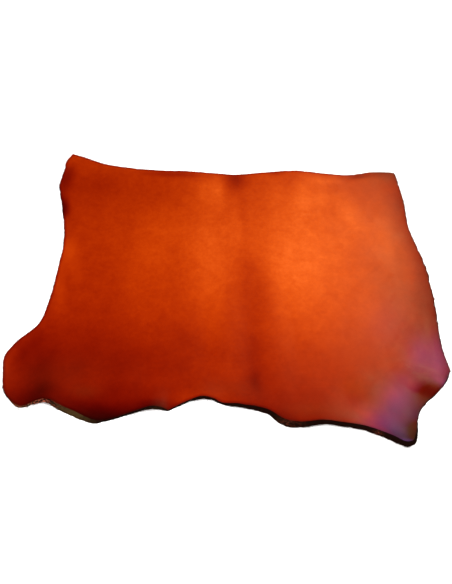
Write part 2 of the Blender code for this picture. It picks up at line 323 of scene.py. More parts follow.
# Where bits of torn, dyed grain show among the cut fibres.
TORN = [
    SoftOval(-40.3, -32.4, 8, 4, 0, 1.0),        # notch
    SoftOval(-45.5, -33.4, 6, 4, 0, 0.6),        # under the left foreleg
    SoftOval(14, -37.2, 7, 4, 0, 0.2),           # foot of the step
    SoftOval(32.4, -39.3, 2, 2, 0, 0.4),         # painted glint on the right arch
]

# How far the frayed fibres stand out below the cut, in millimetres.
FRINGE = [
    SoftOval(38.5, -41.8, 9, 6, 0, 3.5),         # near right corner
    SoftOval(28, -38.5, 30, 7, -12, 5.0),        # right arch
    SoftOval(14.5, -37.3, 11, 5, 0, 5.0),        # foot of the step
    SoftOval(-40.5, -32.4, 9, 5, 0, 3.0),        # notch
    SoftOval(-28, -36.8, 16, 5, 0, 1.8),         # left arch
]

# Nicks in the rim (plus) and tabs that stand out of it (minus): where, how wide in millimetres,
# and how deep in millimetres. The two wide ones draw the near edge in.
Nick = namedtuple("Nick", "across along width depth")

NICKS = [
    Nick(46.0, 36.0, 9, 6.0),       # clipped far right corner
    Nick(46.1, 31.5, 6, 2.5),
    Nick(46.5, 24.0, 7, -1.8),
    Nick(48.4, 9.0, 7, 2.2),
    Nick(49.3, 6.6, 6, -2.6),
    Nick(49.4, 4.8, 5, 3.0),
    Nick(49.6, 1.4, 6, -2.2),
    Nick(49.7, -0.4, 5, 3.0),
    Nick(49.8, -5.4, 6, -3.4),
    Nick(49.8, -7.2, 5, 3.8),
    Nick(49.9, -11.8, 5, 2.8),
    Nick(50.4, -18.0, 6, 2.4),
    Nick(30.0, -39.0, 130, 3.8),    # right arch
    Nick(13.5, -36.5, 45, 3.0),     # foot of the step
    Nick(41.2, -37.2, 6, 2.0),
    Nick(-38.6, -32.3, 5, 2.0),
    Nick(-44.2, -33.5, 5, 1.6),
    Nick(21.5, 36.0, 4, 1.2),
    Nick(-24.0, 37.2, 6, 1.2),
    Nick(-43.8, 35.4, 5, 1.4),
]


class HideSizes(bpy.types.PropertyGroup):
    """Real sizes of the leather."""

    width: bpy.props.FloatProperty(
        name="Width", description="Widest place of the grain side, across the spine",
        default=1.30, min=0.5, max=3.0, unit="LENGTH", subtype="DISTANCE")
    thickness: bpy.props.FloatProperty(
        name="Thickness", description="Thickness of the leather",
        default=0.004, min=0.001, max=0.010, unit="LENGTH", subtype="DISTANCE")
    lift_reach: bpy.props.FloatProperty(
        name="Lift Reach", description="How far in from the rim a lifted wave dies out",
        default=0.120, min=0.02, max=0.4, unit="LENGTH", subtype="DISTANCE")
    flat_width: bpy.props.FloatProperty(
        name="Flat Width", description="Width of the sheet pulled flat",
        default=1.30, unit="LENGTH", subtype="DISTANCE")
    flat_length: bpy.props.FloatProperty(
        name="Flat Length", description="Length of the sheet pulled flat",
        default=1.10, unit="LENGTH", subtype="DISTANCE")
    flat_area: bpy.props.FloatProperty(
        name="Flat Area", description="Area of the grain side pulled flat",
        default=1.13, unit="AREA")
    rows_across: bpy.props.IntProperty(
        name="Rows Across", description="Faces of the sheet between its left and right rim",
        default=200, min=20, max=400)
    rows_along: bpy.props.IntProperty(
        name="Rows Along", description="Faces of the sheet between its near and far rim",
        default=170, min=20, max=400)
    rim_cuts: bpy.props.IntProperty(
        name="Rim Cuts", description="Extra points on each outer edge of the grid",
        default=3, min=0, max=8)
    edge_rows: bpy.props.IntProperty(
        name="Edge Rows", description="Rows of faces down the raw cut edge",
        default=4, min=1, max=8)
    ragged: bpy.props.FloatProperty(
        name="Ragged", description="How far the raw edge frays in and out",
        default=0.0034, min=0.0, max=0.01, unit="LENGTH", subtype="DISTANCE")
    fibres: bpy.props.IntProperty(
        name="Fibres", description="Loose fibres that stand out of the raw edge",
        default=2000, min=0, max=4000)
    fibre_width: bpy.props.FloatProperty(
        name="Fibre Width", description="Thickness of a loose fibre at its root",
        default=0.00035, min=0.0001, max=0.001, unit="LENGTH", subtype="DISTANCE")


class HideColours(bpy.types.PropertyGroup):
    """Colours of the dyed grain with its painted sheen and painted reflection, the raw edge and the
    flesh side.
    """

    palest: bpy.props.FloatVectorProperty(
        name="Palest Grain", description="Grain where the dye is thinnest",
        default=(0.54, 0.078, 0.0080), size=3, subtype="COLOR", min=0, max=1)
    absorbed: bpy.props.FloatVectorProperty(
        name="Absorbed", description="How strongly the dye takes up red, green and blue",
        default=(1.0, 2.25, 5.5), size=3, min=0, max=10)
    # Painted sheen: tan tint added where the warm window's sheen fell.
    sheen_paint: bpy.props.FloatVectorProperty(
        name="Haze", description="Dull tan tone where the finish is rubbed",
        default=(0.030, 0.024, 0.005), size=3, subtype="COLOR", min=0, max=1)
    # Painted reflection: plum tint added where the violet sky light reflected.
    reflection_paint: bpy.props.FloatVectorProperty(
        name="Bloom", description="Plum tone of the near right corner and the right foreleg",
        default=(0.032, 0.020, 0.088), size=3, subtype="COLOR", min=0, max=1)
    raw_dark: bpy.props.FloatVectorProperty(
        name="Raw Edge Dark", description="Cut fibres in shade and where dye soaked in",
        default=(0.0050, 0.0014, 0.0009), size=3, subtype="COLOR", min=0, max=1)
    torn: bpy.props.FloatVectorProperty(
        name="Torn Grain", description="Bits of dyed grain among the cut fibres",
        default=(0.30, 0.065, 0.035), size=3, subtype="COLOR", min=0, max=1)
    # Colour of the paler runs of the cut edge.
    raw_light: bpy.props.FloatVectorProperty(
        name="Raw Edge Light", description="Cut fibres where little dye reached",
        default=(0.050, 0.027, 0.009), size=3, subtype="COLOR", min=0, max=1)
    flesh: bpy.props.FloatVectorProperty(
        name="Flesh Side", description="Napped underside",
        default=(0.17, 0.075, 0.030), size=3, subtype="COLOR", min=0, max=1)


class HideStudio(bpy.types.PropertyGroup):
    """Camera, floor and lights."""

    camera_height: bpy.props.FloatProperty(
        name="Camera Height", description="Height of the camera above the floor",
        default=1.8253, unit="LENGTH", subtype="DISTANCE")
    camera_back: bpy.props.FloatProperty(
        name="Camera Back", description="Distance of the camera in front of the hide's middle",
        default=1.2806, unit="LENGTH", subtype="DISTANCE")
    camera_pitch: bpy.props.FloatProperty(
        name="Camera Pitch", description="How far down the camera looks",
        default=math.radians(55.7), unit="ROTATION", subtype="ANGLE")
    lens: bpy.props.FloatProperty(
        name="Lens", description="Focal length on a 36 mm sensor, in millimetres",
        default=43.15)
    floor_colour: bpy.props.FloatVectorProperty(
        name="Floor", description="Pale floor",
        default=(0.95, 0.95, 0.95), size=3, subtype="COLOR", min=0, max=1)
    room: bpy.props.FloatProperty(
        name="Room", description="Brightness of the dim room, for all but the camera",
        default=0.004, min=0.0, max=2.0)
    fill: bpy.props.FloatProperty(
        name="Fill", description="Brightness of the light above the camera",
        default=9.2, min=0.0)
    key: bpy.props.FloatProperty(
        name="Key", description="Brightness of the light far out on the right",
        default=11.0, min=0.0)
    wall: bpy.props.FloatProperty(
        name="Wall", description="Brightness of the light far out on the left",
        default=10.4, min=0.0)
    window: bpy.props.FloatProperty(
        name="Window", description="Brightness of the tall window on the right",
        default=4.9, min=0.0)


def sizes():
    return bpy.context.scene.hide_sizes


def colours():
    return bpy.context.scene.hide_colours


def studio():
    return bpy.context.scene.hide_studio


# Shape of the sheet

CURVE_STEPS = 24          # points of the outline between two rows of the tables
OVAL_FALL = 1.8           # how fast a soft oval fades: at its border a sixth is left


def closed_curve(rims):
    """Smooth closed curve through the rims: rows of x, y, lift and raw, in metres."""
    hundredth = sizes().width / 100
    scale = np.array([hundredth, hundredth, MM, MM])
    here = np.array([tuple(rim)[:4] for rim in rims]) * scale
    corner = np.array([bool(rim.corner) for rim in rims])[:, None]
    before = np.roll(here, 1, axis=0)
    after = np.roll(here, -1, axis=0)
    step = np.sqrt(np.linalg.norm((after - here)[:, :2], axis=1))[:, None]
    past = np.roll(step, 1, axis=0)
    chord_in = (here - before) / past
    chord_out = (after - here) / step
    through = chord_in + chord_out - (after - before) / (past + step)
    slope_out = np.where(corner, chord_out, through)
    slope_in = np.roll(np.where(corner, chord_in, through), -1, axis=0)
    parts = []
    for i in range(CURVE_STEPS):
        t = i / CURVE_STEPS
        parts.append(
            (2 * t**3 - 3 * t**2 + 1) * here
            + (t**3 - 2 * t**2 + t) * step * slope_out
            + (3 * t**2 - 2 * t**3) * after
            + (t**3 - t**2) * step * slope_in
        )
    curve = np.stack(parts, axis=1).reshape(-1, 4)
    curve[:, 2:] = np.maximum(curve[:, 2:], 0.0)
    return curve


def outward(curve):
    """Unit directions that point out of a clockwise curve, level with the ground."""
    along = np.roll(curve[:, :2], -1, axis=0) - np.roll(curve[:, :2], 1, axis=0)
    along /= np.linalg.norm(along, axis=1)[:, None]
    return np.stack([-along[:, 1], along[:, 0]], axis=1)


class Side:
    """One of the four stretches of the rim, read by the share of its length."""

    def __init__(self, points, shares):
        self.points = points
        self.shares = shares

    def at(self, share):
        columns = [np.interp(share, self.shares, column) for column in self.points.T]
        return np.stack(columns, axis=-1)


def grain_outline():
    return closed_curve(FAR_EDGE + RIGHT_EDGE + NEAR_EDGE + LEFT_EDGE)


def four_sides(slope_out):
    """Far, right, near and left side: far and near run left to right, the others near to far.

    slope_out is the share of the raw width by which the points are moved out from the grain.
    """
    grain = grain_outline()
    moved = grain.copy()
    moved[:, :2] += outward(grain) * grain[:, 3:4] * slope_out
    sides = []
    start = 0
    for table in (FAR_EDGE, RIGHT_EDGE, NEAR_EDGE, LEFT_EDGE):
        end = start + len(table) * CURVE_STEPS
        rows = [i % len(grain) for i in range(start, end + 1)]
        lengths = np.linalg.norm(np.diff(grain[rows, :2], axis=0), axis=1)
        shares = np.concatenate([[0.0], np.cumsum(lengths)]) / lengths.sum()
        sides.append((moved[rows, :3], shares))
        start = end
    far, right, near, left = sides
    return (
        Side(*far),
        Side(right[0][::-1], 1 - right[1][::-1]),
        Side(near[0][::-1], 1 - near[1][::-1]),
        Side(*left),
    )


def blended(sides, u, v, from_left, from_right, from_near, from_far):
    """Coons patch between the four sides, with the given strength of each side."""
    far, right, near, left = sides
    corners = (
        (from_left * from_near)[:, None] * near.at(0.0)
        + (from_right * from_near)[:, None] * near.at(1.0)
        + (from_left * from_far)[:, None] * far.at(0.0)
        + (from_right * from_far)[:, None] * far.at(1.0)
    )
    return (
        from_left[:, None] * left.at(v)
        + from_right[:, None] * right.at(v)
        + from_near[:, None] * near.at(u)
        + from_far[:, None] * far.at(u)
        - corners
    )


def lifted(distance):
    """Share of the rim's lift that is left at a distance from the rim."""
    return np.clip(1 - distance / sizes().lift_reach, 0, 1) ** 2


def oval_reach(row, x, y):
    """Square of how far out each place is in the row's oval: 0 in its middle, 1 on its border."""
    hundredth = sizes().width / 100
    turn = math.radians(row.turn)
    dx = x - row.across * hundredth
    dy = y - row.along * hundredth
    long = (dx * math.cos(turn) + dy * math.sin(turn)) / (row.length * hundredth / 2)
    wide = (dy * math.cos(turn) - dx * math.sin(turn)) / (row.width * hundredth / 2)
    return long**2 + wide**2


def patches(table, x, y):
    """Sum of the table's soft ovals at each place."""
    return sum(row.depth * np.exp(-OVAL_FALL * oval_reach(row, x, y)) for row in table)


def swell_height(x, y):
    """Height of all the soft swells together."""
    total = np.zeros_like(x)
    for swell in SWELLS:
        total += swell.height * MM * np.clip(1 - oval_reach(swell, x, y), 0, 1) ** 2
    return total


def surface(u, v, slope_out):
    """Places on the underside for shares u from left to right and v from near to far."""
    sides = four_sides(slope_out)
    far, right, near, left = sides
    flat = blended(sides, u, v, 1 - u, u, 1 - v, v)
    across = np.linalg.norm((right.at(v) - left.at(v))[:, :2], axis=1)
    along = np.linalg.norm((far.at(u) - near.at(u))[:, :2], axis=1)
    waves = blended(
        sides, u, v,
        lifted(u * across), lifted((1 - u) * across),
        lifted(v * along), lifted((1 - v) * along),
    )
    height = np.maximum(waves[:, 2], 0.0) + swell_height(flat[:, 0], flat[:, 1])
    return np.column_stack([flat[:, 0], flat[:, 1], height])


# Mesh of the sheet

RIM_CROWDING = 0.6        # 0 spaces the rows evenly, towards 1 crowds them at the rim
RAW_FLARE = 1.6           # above 1, the cut edge is steep at the grain and flares at the flesh
ARRIS_DROP = 0.0004       # how far the grain rolls down at its very rim
ARRIS_REACH = 0.0020
UNEVEN = 0.0006           # soft unevenness of the grain side
UNEVEN_SIZE = 0.11
FRAY_SIZES = ((0.0035, 0.20), (0.011, 0.40), (0.034, 0.55))
FRAY_TWIST = 2.0          # how fast the fray changes down the cut edge
SHARP_ANGLE = 32          # degrees
AT_RIM = 1e-6             # share of the way across that still counts as the rim
GRAIN_LEVEL = 0.999       # above it a point is on the grain side, where 1 is its height
FLESH_LEVEL = 0.001


def crowded(share):
    """Moves evenly spaced shares towards both ends."""
    return share - RIM_CROWDING * np.sin(2 * np.pi * share) / (2 * np.pi)


def unit_sheet():
    """Flat closed sheet: X and Y hold the shares across and along, Z is 0 below and 1 above."""
    size = sizes()
    mesh = bmesh.new()
    bmesh.ops.create_grid(mesh, x_segments=size.rows_across, y_segments=size.rows_along, size=0.5)
    bmesh.ops.translate(mesh, verts=mesh.verts, vec=(0.5, 0.5, 0.0))
    rim = [edge for edge in mesh.edges if edge.is_boundary]
    bmesh.ops.subdivide_edges(mesh, edges=rim, cuts=size.rim_cuts)
    many_sided = [face for face in mesh.faces if len(face.verts) > 4]
    bmesh.ops.triangulate(mesh, faces=many_sided, quad_method="BEAUTY", ngon_method="BEAUTY")
    grown = bmesh.ops.extrude_face_region(mesh, geom=mesh.faces[:])
    top = [item for item in grown["geom"] if isinstance(item, bmesh.types.BMVert)]
    bmesh.ops.translate(mesh, verts=top, vec=(0.0, 0.0, 1.0))
    upright = [edge for edge in mesh.edges if abs(edge.verts[0].co.z - edge.verts[1].co.z) > 0.5]
    bmesh.ops.subdivide_edges(mesh, edges=upright, cuts=size.edge_rows - 1, use_grid_fill=True)
    bmesh.ops.recalc_face_normals(mesh, faces=mesh.faces)
    return mesh


def fray(x, y, level):
    """How far out the raw edge frays, from a noise that has short and long teeth."""
    return sum(
        weight * noise.noise(Vector((x / size, y / size, level * FRAY_TWIST)))
        for size, weight in FRAY_SIZES
    )


def nicked(x, y):
    """Depth of the nicks at each place, in metres."""
    hundredth = sizes().width / 100
    total = np.zeros_like(x)
    for nick in NICKS:
        dx = x - nick.across * hundredth
        dy = y - nick.along * hundredth
        total += nick.depth * MM * np.exp(-(dx**2 + dy**2) / (nick.width * MM) ** 2)
    return total


def shaped(u, v, level):
    """Real places of the unit sheet's points, and how far each is from the rim."""
    size = sizes()
    grain = surface(u, v, 0.0)
    flesh = surface(u, v, 1.0)
    out = ((1 - level) ** RAW_FLARE)[:, None]
    places = grain + out * (flesh - grain)
    on_rim = (np.minimum(u, 1 - u) < AT_RIM) | (np.minimum(v, 1 - v) < AT_RIM)
    away = (flesh - grain)[:, :2]
    away /= np.maximum(np.linalg.norm(away, axis=1), 1e-9)[:, None]
    frayed = 1 + patches(FRAYED, grain[:, 0], grain[:, 1])
    fringe = MM * patches(FRINGE, grain[:, 0], grain[:, 1]) * (1 - level)
    nicks = nicked(grain[:, 0], grain[:, 1])
    for i in np.nonzero(on_rim)[0]:
        x, y = places[i, :2]
        loose = 0.5 + 0.5 * (1 - level[i]) * frayed[i]
        out = fray(x, y, level[i]) * size.ragged * loose + fringe[i] - nicks[i]
        places[i, :2] += away[i] * out
    outline = grain_outline()
    tree = kdtree.KDTree(len(outline))
    for i, point in enumerate(outline):
        tree.insert((point[0], point[1], 0.0), i)
    tree.balance()
    inside = np.array([tree.find((x, y, 0.0))[2] for x, y in places[:, :2]])
    inside[on_rim] = 0.0
    above = level > GRAIN_LEVEL
    uneven = np.array([noise.noise(Vector((x, y, 0.7)) / UNEVEN_SIZE) for x, y in places[:, :2]])
    places[:, 2] += size.thickness * level
    places[above, 2] += uneven[above] * UNEVEN * np.clip(inside[above] / UNEVEN_SIZE, 0, 1)
    places[above, 2] -= ARRIS_DROP * np.exp(-inside[above] / ARRIS_REACH)
    return places, inside


def add_attribute(data, name, values):
    layer = data.attributes.new(name, "FLOAT", "POINT")
    layer.data.foreach_set("value", np.asarray(values, dtype=np.float32))


def new_piece(name, data, materials):
    """Object of the hide with its place in its mesh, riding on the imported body."""
    for material in materials:
        data.materials.append(material)
    piece = bpy.data.objects.new(name, data)
    bpy.context.scene.collection.objects.link(piece)
    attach(piece, "root")
    return piece


def leather_sheet():
    """The leather: grain side, flesh side and raw edge as one closed skin."""
    mesh = unit_sheet()
    for face in mesh.faces:
        height = face.calc_center_median().z
        face.material_index = 0 if height > GRAIN_LEVEL else 1 if height > FLESH_LEVEL else 2
        face.smooth = True
    verts = list(mesh.verts)
    shares = np.array([vert.co for vert in verts])
    level = shares[:, 2]
    places, inside = shaped(crowded(shares[:, 0]), crowded(shares[:, 1]), level)
    low, high = places.min(axis=0), places.max(axis=0)
    places -= [(low[0] + high[0]) / 2, (low[1] + high[1]) / 2, low[2]]
    for vert, place in zip(verts, places):
        vert.co = place
    data = bpy.data.meshes.new("hide_leather_sheet")
    mesh.to_mesh(data)
    mesh.free()
    # The first three attributes hold dye with painted shade and painted light, then painted sheen, then
    # painted reflection.
    add_attribute(data, "shade_and_dye_depth", SHADE_AND_DYE_BASE + patches(SHADE_AND_DYE, places[:, 0], places[:, 1]))
    add_attribute(data, "painted_sheen", patches(SHEEN_PAINT_PATCHES, places[:, 0], places[:, 1]))
    add_attribute(data, "painted_reflection_amount", patches(REFLECTION_PAINT_PATCHES, places[:, 0], places[:, 1]))
    add_attribute(data, "rim_distance", inside)
    add_attribute(data, "raw_pale", patches(RAW_PALE, places[:, 0], places[:, 1]))
    add_attribute(data, "torn_grain", patches(TORN, places[:, 0], places[:, 1]))
    data.set_sharp_from_angle(angle=math.radians(SHARP_ANGLE))
    return new_piece("hide_leather_sheet", data, [grain_leather(), raw_edge(), flesh_side()])


# Loose fibres of the raw edge

FIBRE_POINTS = 5
SHORT_FIBRE = (0.0015, 0.0045)
LONG_FIBRE = (0.006, 0.013)
LONG_FIBRE_SHARE = 0.06
ROOT_LEVEL = (0.05, 0.65)     # share of the leather's thickness at which fibres grow
ROOT_SUNK = 0.0008            # how deep a root sits in the cut edge
FIBRE_SPREAD = 0.8            # radians to either side of straight out
FIBRE_CURL = 0.4              # radians from one point to the next
FIBRE_FALL = (0.1, 0.7)       # metres down for each metre out
FIBRE_TAPER = 0.75


def fibre_roots(rng, count):
    """Random places on the raw edge, denser where it is frayed: rows of point and direction."""
    size = sizes()
    outline = grain_outline()
    away = outward(outline)
    lengths = np.linalg.norm(np.roll(outline, -1, axis=0)[:, :2] - outline[:, :2], axis=1)
    weight = lengths * (1 + patches(FRAYED + TUFTS, outline[:, 0], outline[:, 1]))
    travelled = np.concatenate([[0.0], np.cumsum(weight)])
    roots = []
    for _ in range(count):
        at = rng.uniform(0, travelled[-1])
        i = min(int(np.searchsorted(travelled, at, side="right")) - 1, len(outline) - 1)
        share = (at - travelled[i]) / weight[i]
        x, y, lift, raw = outline[i] * (1 - share) + outline[(i + 1) % len(outline)] * share
        up = rng.uniform(*ROOT_LEVEL)
        out = raw * (1 - up) ** RAW_FLARE - ROOT_SUNK
        swell = swell_height(np.array([x]), np.array([y]))[0]
        height = lift + swell + size.thickness * up
        place = Vector((x + away[i][0] * out, y + away[i][1] * out, height))
        roots.append((place, math.atan2(away[i][1], away[i][0])))
    return roots


def loose_fibres():
    """Fibres that stand out of the raw edge, as one joined mesh."""
    size = sizes()
    rng = random.Random(7)
    curve = bpy.data.curves.new("hide_loose_fibres", "CURVE")
    curve.dimensions = "3D"
    curve.bevel_depth = size.fibre_width / 2
    curve.bevel_resolution = 0
    curve.use_fill_caps = True
    for place, outward_angle in fibre_roots(rng, size.fibres):
        heading = outward_angle + rng.gauss(0, FIBRE_SPREAD)
        length = rng.uniform(*SHORT_FIBRE)
        if rng.random() < LONG_FIBRE_SHARE:
            length = rng.uniform(*LONG_FIBRE)
        curl = rng.gauss(0, FIBRE_CURL)
        fall = rng.uniform(*FIBRE_FALL)
        step = length / (FIBRE_POINTS - 1)
        spline = curve.splines.new("POLY")
        spline.points.add(FIBRE_POINTS - 1)
        for k, point in enumerate(spline.points):
            point.co = (*place, 1.0)
            point.radius = 1.0 - FIBRE_TAPER * k / (FIBRE_POINTS - 1)
            place = place + step * Vector((math.cos(heading), math.sin(heading), -fall))
            place.z = max(place.z, size.fibre_width)
            heading += curl
    holder = bpy.data.objects.new("fibre_curves", curve)
    bpy.context.scene.collection.objects.link(holder)
    bpy.context.view_layer.update()
    shown = holder.evaluated_get(bpy.context.evaluated_depsgraph_get())
    data = bpy.data.meshes.new_from_object(shown)
    data.name = "hide_loose_fibres"
    bpy.data.objects.remove(holder)
    bpy.data.curves.remove(curve)
    data.materials.clear()
    places = np.array([vert.co for vert in data.vertices])
    add_attribute(data, "raw_pale", patches(RAW_PALE, places[:, 0], places[:, 1]))
    add_attribute(data, "torn_grain", patches(TORN, places[:, 0], places[:, 1]))
    return new_piece("hide_loose_fibres", data, [fibre_fluff()])


# Shader graphs. A noise's scale is how many lumps lie in a metre.

GRAIN_ROUGHNESS = 0.23
GRAIN_CELL = 0.0022       # width of a pebble of the grain
GRAIN_RELIEF = 0.001
RIM_BAND = 0.010          # how far in the dye is darker along the rim
DULL_BAND = 0.035         # how far in the rim is duller
SPINE_X = 0.07
SPINE_REACH = (0.02, 0.34)    # where the wrinkles beside the spine start to fade and end
NAP_RELIEF = 0.0010
RAW_RELIEF = 0.0012
TONE_CONTRAST = 2.2       # how much the cut fibres differ in tone

class Graph:
    """Adds nodes to a tree and joins them."""

    def __init__(self, tree):
        self.tree = tree

    def feed(self, socket, value):
        if isinstance(value, bpy.types.NodeSocket):
            self.tree.links.new(value, socket)
        else:
            socket.default_value = value

    def node(self, kind, **values):
        """New node. Names that are settings of the node are set, all the others feed sockets."""
        new = self.tree.nodes.new(kind)
        for name, value in values.items():
            if hasattr(new, name):
                setattr(new, name, value)
        for name, value in values.items():
            if not hasattr(new, name):
                self.feed(new.inputs[name.replace("_", " ")], value)
        return new

    def place(self):
        """Object coordinates."""
        return self.tree.nodes.new("ShaderNodeTexCoord").outputs["Object"]

    def attribute(self, name):
        new = self.tree.nodes.new("ShaderNodeAttribute")
        new.attribute_name = name
        return new.outputs["Fac"]

    def stretched(self, vector, scale, turn=0.0):
        new = self.node("ShaderNodeMapping", Vector=vector)
        new.inputs["Rotation"].default_value = (0.0, 0.0, turn)
        new.inputs["Scale"].default_value = scale
        return new.outputs["Vector"]

    def math(self, operation, first, second=0.0):
        new = self.tree.nodes.new("ShaderNodeMath")
        new.operation = operation
        self.feed(new.inputs[0], first)
        self.feed(new.inputs[1], second)
        return new.outputs[0]

    def noise(self, vector, scale, detail=2.0, roughness=0.5, distortion=0.0):
        new = self.node("ShaderNodeTexNoise", Vector=vector, Scale=scale, Detail=detail,
                        Roughness=roughness, Distortion=distortion)
        return new.outputs["Fac"]

    def cells(self, vector, scale, feature="F1"):
        new = self.node("ShaderNodeTexVoronoi", feature=feature)
        self.feed(new.inputs["Vector"], vector)
        self.feed(new.inputs["Scale"], scale)
        return new.outputs["Distance"]

    def spread(self, value, low, high, to_low=0.0, to_high=1.0):
        new = self.node("ShaderNodeMapRange", interpolation_type="SMOOTHSTEP", Value=value)
        new.inputs["From Min"].default_value = low
        new.inputs["From Max"].default_value = high
        new.inputs["To Min"].default_value = to_low
        new.inputs["To Max"].default_value = to_high
        return new.outputs["Result"]

    def total(self, *weighted):
        """Sum of (value, weight) pairs."""
        result = None
        for value, weight in weighted:
            part = self.math("MULTIPLY", value, weight)
            result = part if result is None else self.math("ADD", result, part)
        return result

    def dyed(self, base, absorbed, depth):
        """Base colour seen through dye: each channel fades by its own share of the depth."""
        combined = self.tree.nodes.new("ShaderNodeCombineColor")
        for name, start, share in zip(("Red", "Green", "Blue"), base, absorbed):
            passed = self.math("POWER", math.exp(-share), self.math("MAXIMUM", depth, 0.0))
            self.feed(combined.inputs[name], self.math("MULTIPLY", passed, start))
        return combined.outputs["Color"]

    def added(self, base, extra, share):
        """Base colour with a share of an extra colour added."""
        mix = self.node("ShaderNodeMix", data_type="RGBA", blend_type="ADD")
        self.feed(mix.inputs[0], share)
        self.feed(mix.inputs[6], base)
        self.feed(mix.inputs[7], (*extra, 1.0))
        return mix.outputs[2]

    def ramp(self, value, stops):
        new = self.tree.nodes.new("ShaderNodeValToRGB")
        self.feed(new.inputs["Fac"], value)
        marks = new.color_ramp.elements
        while len(marks) < len(stops):
            marks.new(0.5)
        for mark, (at, colour) in zip(marks, stops):
            mark.position = at
            mark.color = (*colour, 1.0)
        return new.outputs["Color"]


def new_group(name, inputs, outputs):
    """Empty node group with float sockets, and the graph that fills it."""
    tree = bpy.data.node_groups.new(name, "ShaderNodeTree")
    for socket, default in inputs:
        kind = "NodeSocketVector" if default is None else "NodeSocketFloat"
        made = tree.interface.new_socket(name=socket, in_out="INPUT", socket_type=kind)
        if default is not None:
            made.default_value = default
    for socket in outputs:
        tree.interface.new_socket(name=socket, in_out="OUTPUT", socket_type="NodeSocketFloat")
    graph = Graph(tree)
    return graph, tree.nodes.new("NodeGroupInput").outputs, tree.nodes.new("NodeGroupOutput").inputs


def group_once(build):
    """Node group of a function, built the first time that a material asks for it."""
    found = bpy.data.node_groups.get(build.__name__)
    return found or build(build.__name__)


def use_group(graph, build, **values):
    new = graph.tree.nodes.new("ShaderNodeGroup")
    new.node_tree = group_once(build)
    for name, value in values.items():
        graph.feed(new.inputs[name.replace("_", " ")], value)
    return new.outputs


def leather_grain(name):
    """Pebbled cow grain: cells of uneven size parted by fine creases, with hair pits."""
    graph, given, made = new_group(name, [("Vector", None), ("Cell Size", 0.0022)], ["Height", "Crease"])
    scale = graph.math("DIVIDE", 1.0, given["Cell Size"])
    bent = graph.node("ShaderNodeTexNoise", Vector=given["Vector"], Scale=90.0, Detail=2.0)
    shift = graph.node("ShaderNodeVectorMath", operation="SCALE")
    graph.feed(shift.inputs[0], bent.outputs["Color"])
    shift.inputs["Scale"].default_value = 0.004
    moved = graph.node("ShaderNodeVectorMath", operation="ADD")
    graph.feed(moved.inputs[0], given["Vector"])
    graph.feed(moved.inputs[1], shift.outputs[0])
    vector = moved.outputs[0]
    pebble = graph.spread(graph.cells(vector, scale, "DISTANCE_TO_EDGE"), 0.0, 0.28)
    fine = graph.spread(
        graph.cells(vector, graph.math("MULTIPLY", scale, 2.3), "DISTANCE_TO_EDGE"), 0.0, 0.3)
    pits = graph.spread(graph.cells(vector, graph.math("MULTIPLY", scale, 0.8)), 0.05, 0.22)
    strength = graph.spread(graph.noise(given["Vector"], 14.0, 3.0), 0.3, 0.7, 0.45, 1.0)
    height = graph.total((pebble, 0.55), (fine, 0.25), (pits, 0.20))
    graph.feed(made["Height"], graph.math("MULTIPLY", height, strength))
    crease = graph.math("SUBTRACT", 1.0, pebble)
    graph.feed(made["Crease"], graph.math("MULTIPLY", crease, strength))
    return graph.tree


def growth_wrinkles(name):
    """Shallow lines across the neck, from the animal's growth, strongest beside the spine."""
    graph, given, made = new_group(name, [("Vector", None)], ["Height", "Line"])
    wide = graph.stretched(given["Vector"], (5.0, 42.0, 1.0), math.radians(3))
    narrow = graph.stretched(given["Vector"], (9.0, 110.0, 1.0), math.radians(-4))
    broad_lines = graph.spread(graph.noise(wide, 1.0, 3.0, 0.55, 0.6), 0.35, 0.62)
    fine_lines = graph.spread(graph.noise(narrow, 1.0, 2.0, 0.5, 0.8), 0.30, 0.60)
    lines = graph.total((broad_lines, 0.7), (fine_lines, 0.3))
    graph.feed(made["Height"], lines)
    graph.feed(made["Line"], graph.math("SUBTRACT", 1.0, lines))
    return graph.tree


def soft_mottling(name):
    """Clouds, blotches and wiped strokes, around zero."""
    graph, given, made = new_group(
        name,
        [("Vector", None), ("Clouds", 0.1), ("Blotches", 0.1), ("Specks", 0.1), ("Strokes", 0.1)],
        ["Value"],
    )
    vector = given["Vector"]
    clouds = graph.math("SUBTRACT", graph.noise(vector, 5.0, 3.0, 0.55), 0.5)
    blotches = graph.math("SUBTRACT", graph.noise(vector, 26.0, 4.0, 0.6, 0.3), 0.5)
    specks = graph.math("SUBTRACT", graph.noise(vector, 85.0, 4.0, 0.65, 0.3), 0.5)
    swept = graph.stretched(vector, (11.0, 48.0, 1.0), math.radians(8))
    strokes = graph.math("SUBTRACT", graph.noise(swept, 1.0, 3.0), 0.5)
    graph.feed(made["Value"], graph.total(
        (clouds, given["Clouds"]), (blotches, given["Blotches"]),
        (specks, given["Specks"]), (strokes, given["Strokes"])))
    return graph.tree


def fibre_nap(name):
    """Matted fibres: short strands that lie in all directions."""
    graph, given, made = new_group(name, [("Vector", None), ("Strand", 0.0012)], ["Height", "Tone"])
    scale = graph.math("DIVIDE", 1.0, given["Strand"])
    across = graph.noise(graph.stretched(given["Vector"], (1.0, 0.22, 1.0), 0.5), scale, 3.0, 0.6, 0.8)
    along = graph.noise(graph.stretched(given["Vector"], (0.25, 1.0, 1.0), -0.3), scale, 3.0, 0.6, 0.8)
    clumps = graph.noise(given["Vector"], graph.math("MULTIPLY", scale, 0.12), 3.0, 0.6)
    graph.feed(made["Height"], graph.total((across, 0.4), (along, 0.4), (clumps, 0.5)))
    graph.feed(made["Tone"], graph.total((across, 0.3), (along, 0.3), (clumps, 0.4)))
    return graph.tree


def new_material(name, roughness, specular):
    material = bpy.data.materials.new(name)
    material.use_nodes = True
    graph = Graph(material.node_tree)
    shader = material.node_tree.nodes["Principled BSDF"]
    shader.inputs["Roughness"].default_value = roughness
    shader.inputs["Specular IOR Level"].default_value = specular
    return material, graph, shader


